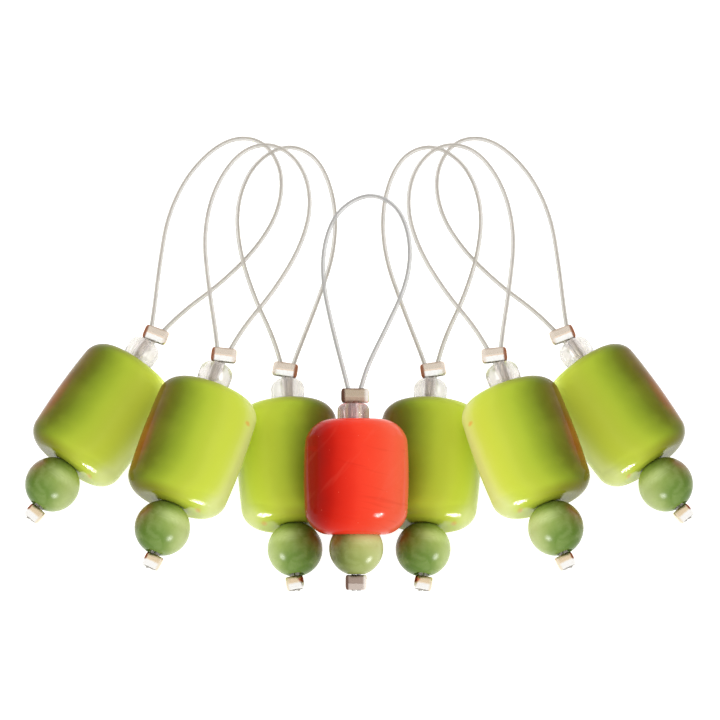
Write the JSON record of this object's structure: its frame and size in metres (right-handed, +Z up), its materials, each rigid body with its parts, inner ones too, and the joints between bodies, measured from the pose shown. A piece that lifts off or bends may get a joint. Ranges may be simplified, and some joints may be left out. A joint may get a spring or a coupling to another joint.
{
  "type": "stitch marker set",
  "caption": "Beaded stitch markers for knitting, fanned out as a set: each a coated wire needle loop, crimps, a clear seed bead, a large rounded glass bead and a cat's-eye ball.",
  "frame": {"origin": "on the table, under the middle of the whole set", "axes": "+X along the row of markers, +Y from the beads towards the loops, +Z up from the table"},
  "size_m": [0.0734, 0.0546, 0.0215],
  "materials": {
    "steel_cable": "fine twisted cable",
    "nylon_coat": "glossy, milky",
    "plated_crimp": "champagne silver plating, pressed",
    "clear_glass": "clear, polished",
    "cats_eye_glass": "fibrous, with a pale band",
    "lime_glass": "opaque pressed glass, polished",
    "red_glass": "opaque streaked glass, polished"
  },
  "bodies": {
    "left_outer_wire": {"left_outer_wire_core": "steel_cable", "left_outer_wire_coating": "nylon_coat", "left_outer_neck_crimp": "plated_crimp", "left_outer_tail_crimp": "plated_crimp"},
    "left_outer_seed_bead": {"left_outer_seed_bead": "clear_glass"},
    "left_outer_large_bead": {"left_outer_large_bead": "lime_glass"},
    "left_outer_small_ball": {"left_outer_small_ball": "cats_eye_glass"},
    "left_middle_wire": {"left_middle_wire_core": "steel_cable", "left_middle_wire_coating": "nylon_coat", "left_middle_neck_crimp": "plated_crimp", "left_middle_tail_crimp": "plated_crimp"},
    "left_middle_seed_bead": {"left_middle_seed_bead": "clear_glass"},
    "left_middle_large_bead": {"left_middle_large_bead": "lime_glass"},
    "left_middle_small_ball": {"left_middle_small_ball": "cats_eye_glass"},
    "left_inner_wire": {"left_inner_wire_core": "steel_cable", "left_inner_wire_coating": "nylon_coat", "left_inner_neck_crimp": "plated_crimp", "left_inner_tail_crimp": "plated_crimp"},
    "left_inner_seed_bead": {"left_inner_seed_bead": "clear_glass"},
    "left_inner_large_bead": {"left_inner_large_bead": "lime_glass"},
    "left_inner_small_ball": {"left_inner_small_ball": "cats_eye_glass"},
    "red_wire": {"red_wire_core": "steel_cable", "red_wire_coating": "nylon_coat", "red_neck_crimp": "plated_crimp", "red_tail_crimp": "plated_crimp"},
    "red_seed_bead": {"red_seed_bead": "clear_glass"},
    "red_large_bead": {"red_large_bead": "red_glass"},
    "red_small_ball": {"red_small_ball": "cats_eye_glass"},
    "right_inner_wire": {"right_inner_wire_core": "steel_cable", "right_inner_wire_coating": "nylon_coat", "right_inner_neck_crimp": "plated_crimp", "right_inner_tail_crimp": "plated_crimp"},
    "right_inner_seed_bead": {"right_inner_seed_bead": "clear_glass"},
    "right_inner_large_bead": {"right_inner_large_bead": "lime_glass"},
    "right_inner_small_ball": {"right_inner_small_ball": "cats_eye_glass"},
    "right_middle_wire": {"right_middle_wire_core": "steel_cable", "right_middle_wire_coating": "nylon_coat", "right_middle_neck_crimp": "plated_crimp", "right_middle_tail_crimp": "plated_crimp"},
    "right_middle_seed_bead": {"right_middle_seed_bead": "clear_glass"},
    "right_middle_large_bead": {"right_middle_large_bead": "lime_glass"},
    "right_middle_small_ball": {"right_middle_small_ball": "cats_eye_glass"},
    "right_outer_wire": {"right_outer_wire_core": "steel_cable", "right_outer_wire_coating": "nylon_coat", "right_outer_neck_crimp": "plated_crimp", "right_outer_tail_crimp": "plated_crimp"},
    "right_outer_seed_bead": {"right_outer_seed_bead": "clear_glass"},
    "right_outer_large_bead": {"right_outer_large_bead": "lime_glass"},
    "right_outer_small_ball": {"right_outer_small_ball": "cats_eye_glass"}
  },
  "joints": [
    {"name": "red_lift", "type": "slide", "parent": "left_inner_wire", "child": "red_wire", "axis": [0, 0, 1], "range_m": [0, 0.025]},
    {"name": "left_middle_lift", "type": "slide", "parent": "left_inner_wire", "child": "left_middle_wire", "axis": [0, 0, 1], "range_m": [0, 0.025]},
    {"name": "right_middle_lift", "type": "slide", "parent": "left_inner_wire", "child": "right_middle_wire", "axis": [0, 0, 1], "range_m": [0, 0.025]},
    {"name": "left_outer_slide_aside", "type": "slide", "parent": "left_inner_wire", "child": "left_outer_wire", "axis": [-1, 0, 0], "range_m": [0, 0.028]},
    {"name": "right_outer_slide_aside", "type": "slide", "parent": "left_inner_wire", "child": "right_outer_wire", "axis": [1, 0, 0], "range_m": [0, 0.028]},
    {"name": "right_inner_draw_out", "type": "slide", "parent": "left_inner_wire", "child": "right_inner_wire", "axis": [-0.0732, -0.9973, 0], "range_m": [0, 0.052]},
    {"name": "left_outer_seed_bead_spin", "type": "hinge", "parent": "left_outer_wire", "child": "left_outer_seed_bead", "pos_m": [-0.02405, 0.00119, 0.0057], "axis": [0.5577, 0.83, 0], "continuous": true},
    {"name": "left_outer_large_bead_spin", "type": "hinge", "parent": "left_outer_wire", "child": "left_outer_large_bead", "pos_m": [-0.02833, -0.00594, 0.0057], "axis": [0.5577, 0.83, 0], "continuous": true},
    {"name": "left_outer_small_ball_spin", "type": "hinge", "parent": "left_outer_wire", "child": "left_outer_small_ball", "pos_m": [-0.03363, -0.01382, 0.0057], "axis": [0.5577, 0.83, 0], "continuous": true},
    {"name": "left_middle_seed_bead_spin", "type": "hinge", "parent": "left_middle_wire", "child": "left_middle_seed_bead", "pos_m": [-0.01566, -0.00355, 0.0129], "axis": [0.3305, 0.9438, 0], "continuous": true},
    {"name": "left_middle_large_bead_spin", "type": "hinge", "parent": "left_middle_wire", "child": "left_middle_large_bead", "pos_m": [-0.01801, -0.01152, 0.0129], "axis": [0.3305, 0.9438, 0], "continuous": true},
    {"name": "left_middle_small_ball_spin", "type": "hinge", "parent": "left_middle_wire", "child": "left_middle_small_ball", "pos_m": [-0.02115, -0.02049, 0.0129], "axis": [0.3305, 0.9438, 0], "continuous": true},
    {"name": "left_inner_seed_bead_spin", "type": "hinge", "parent": "left_inner_wire", "child": "left_inner_seed_bead", "pos_m": [-0.00787, -0.00333, 0.0057], "axis": [-0.0732, 0.9973, 0], "continuous": true},
    {"name": "left_inner_large_bead_spin", "type": "hinge", "parent": "left_inner_wire", "child": "left_inner_large_bead", "pos_m": [-0.00768, -0.01164, 0.0057], "axis": [-0.0732, 0.9973, 0], "continuous": true},
    {"name": "left_inner_small_ball_spin", "type": "hinge", "parent": "left_inner_wire", "child": "left_inner_small_ball", "pos_m": [-0.00699, -0.02111, 0.0057], "axis": [-0.0732, 0.9973, 0], "continuous": true},
    {"name": "red_seed_bead_spin", "type": "hinge", "parent": "red_wire", "child": "red_seed_bead", "pos_m": [-0.00061, -0.00901, 0.01625], "axis": [0, 0.9781, 0.2079], "continuous": true},
    {"name": "red_large_bead_spin", "type": "hinge", "parent": "red_wire", "child": "red_large_bead", "pos_m": [-0.00031, -0.01536, 0.0149], "axis": [0, 0.9781, 0.2079], "continuous": true},
    {"name": "red_small_ball_spin", "type": "hinge", "parent": "red_wire", "child": "red_small_ball", "pos_m": [-0.00031, -0.02285, 0.01331], "axis": [0, 0.9781, 0.2079], "continuous": true},
    {"name": "right_inner_seed_bead_spin", "type": "hinge", "parent": "right_inner_wire", "child": "right_inner_seed_bead", "pos_m": [0.00787, -0.00333, 0.0057], "axis": [0.0732, 0.9973, 0], "continuous": true},
    {"name": "right_inner_large_bead_spin", "type": "hinge", "parent": "right_inner_wire", "child": "right_inner_large_bead", "pos_m": [0.00768, -0.01164, 0.0057], "axis": [0.0732, 0.9973, 0], "continuous": true},
    {"name": "right_inner_small_ball_spin", "type": "hinge", "parent": "right_inner_wire", "child": "right_inner_small_ball", "pos_m": [0.00699, -0.02111, 0.0057], "axis": [0.0732, 0.9973, 0], "continuous": true},
    {"name": "right_middle_seed_bead_spin", "type": "hinge", "parent": "right_middle_wire", "child": "right_middle_seed_bead", "pos_m": [0.01566, -0.00355, 0.0129], "axis": [-0.3305, 0.9438, 0], "continuous": true},
    {"name": "right_middle_large_bead_spin", "type": "hinge", "parent": "right_middle_wire", "child": "right_middle_large_bead", "pos_m": [0.01801, -0.01152, 0.0129], "axis": [-0.3305, 0.9438, 0], "continuous": true},
    {"name": "right_middle_small_ball_spin", "type": "hinge", "parent": "right_middle_wire", "child": "right_middle_small_ball", "pos_m": [0.02115, -0.02049, 0.0129], "axis": [-0.3305, 0.9438, 0], "continuous": true},
    {"name": "right_outer_seed_bead_spin", "type": "hinge", "parent": "right_outer_wire", "child": "right_outer_seed_bead", "pos_m": [0.02405, 0.00119, 0.0057], "axis": [-0.5577, 0.83, 0], "continuous": true},
    {"name": "right_outer_large_bead_spin", "type": "hinge", "parent": "right_outer_wire", "child": "right_outer_large_bead", "pos_m": [0.02833, -0.00594, 0.0057], "axis": [-0.5577, 0.83, 0], "continuous": true},
    {"name": "right_outer_small_ball_spin", "type": "hinge", "parent": "right_outer_wire", "child": "right_outer_small_ball", "pos_m": [0.03363, -0.01382, 0.0057], "axis": [-0.5577, 0.83, 0], "continuous": true}
  ]
}
